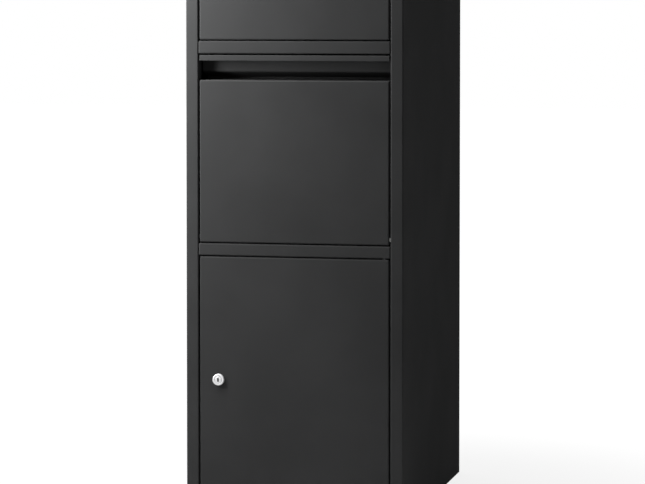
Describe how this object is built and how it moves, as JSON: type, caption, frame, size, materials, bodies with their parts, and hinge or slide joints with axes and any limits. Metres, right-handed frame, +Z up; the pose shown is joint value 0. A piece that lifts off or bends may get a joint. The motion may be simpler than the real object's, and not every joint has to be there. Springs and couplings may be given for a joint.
{
  "type": "parcel locker",
  "caption": "Free-standing sheet-metal parcel locker with a tilting drop hopper, a push-in letter flap and a lockable collection door.",
  "frame": {"origin": "middle of the base panel's underside, on the floor", "axes": "+Z up, -Y out of the front, +X to the right of someone facing the front"},
  "size_m": [0.4, 0.6055, 1.01],
  "materials": {
    "black_coat": "smooth semi-matt black powder coat",
    "zinc": "bright zinc plate",
    "chrome": "satin chrome",
    "rubber": "matt black rubber",
    "nylon": "natural nylon",
    "black_nylon": "black nylon"
  },
  "bodies": {
    "cabinet": {"left_side_panel": "black_coat", "right_side_panel": "black_coat", "back_panel": "black_coat", "roof_panel": "black_coat", "base_panel": "black_coat", "top_rail": "black_coat", "upper_rail": "black_coat", "lower_rail": "black_coat", "bottom_rail": "black_coat", "letter_chute": "black_coat", "hopper_pin_left": "zinc", "hopper_pin_right": "zinc", "door_pin_lower": "zinc", "door_pin_upper": "zinc", "flap_rod": "zinc", "hopper_buffer_left": "rubber", "hopper_buffer_right": "rubber", "door_buffer_lower": "rubber", "door_buffer_upper": "rubber", "flap_buffer_left": "rubber", "flap_buffer_right": "rubber"},
    "hopper": {"hopper_face": "black_coat", "pull_channel": "black_coat", "hopper_cheek_left": "black_coat", "hopper_cheek_right": "black_coat", "hopper_tray": "black_coat", "hopper_bush_left": "black_nylon", "hopper_bush_right": "nylon", "hopper_stop_left": "zinc", "hopper_stop_right": "zinc"},
    "door": {"door_panel": "black_coat", "door_rib": "black_coat", "door_bush_lower": "black_nylon", "door_bush_upper": "black_nylon", "lock_housing": "chrome", "lock_nut": "zinc"},
    "lock": {"lock_plug": "chrome", "lock_cam": "zinc", "cam_screw": "zinc"},
    "flap": {"flap_panel": "black_coat", "flap_stiffener": "black_coat"}
  },
  "joints": [
    {"name": "hopper_tilt", "type": "hinge", "parent": "cabinet", "child": "hopper", "pos_m": [0, -0.2928, 0.5125], "axis": [1, 0, 0], "range_deg": [0, 50]},
    {"name": "door_swing", "type": "hinge", "parent": "cabinet", "child": "door", "pos_m": [0.1645, -0.2928, 0.032], "axis": [0, 0, 1], "range_deg": [0, 110]},
    {"name": "lock_turn", "type": "hinge", "parent": "door", "child": "lock", "pos_m": [-0.1395, -0.3, 0.254], "axis": [0, 1, 0], "range_deg": [0, 90]},
    {"name": "flap_swing", "type": "hinge", "parent": "cabinet", "child": "flap", "pos_m": [0, -0.2952, 0.977], "axis": [1, 0, 0], "range_deg": [0, 70]}
  ]
}
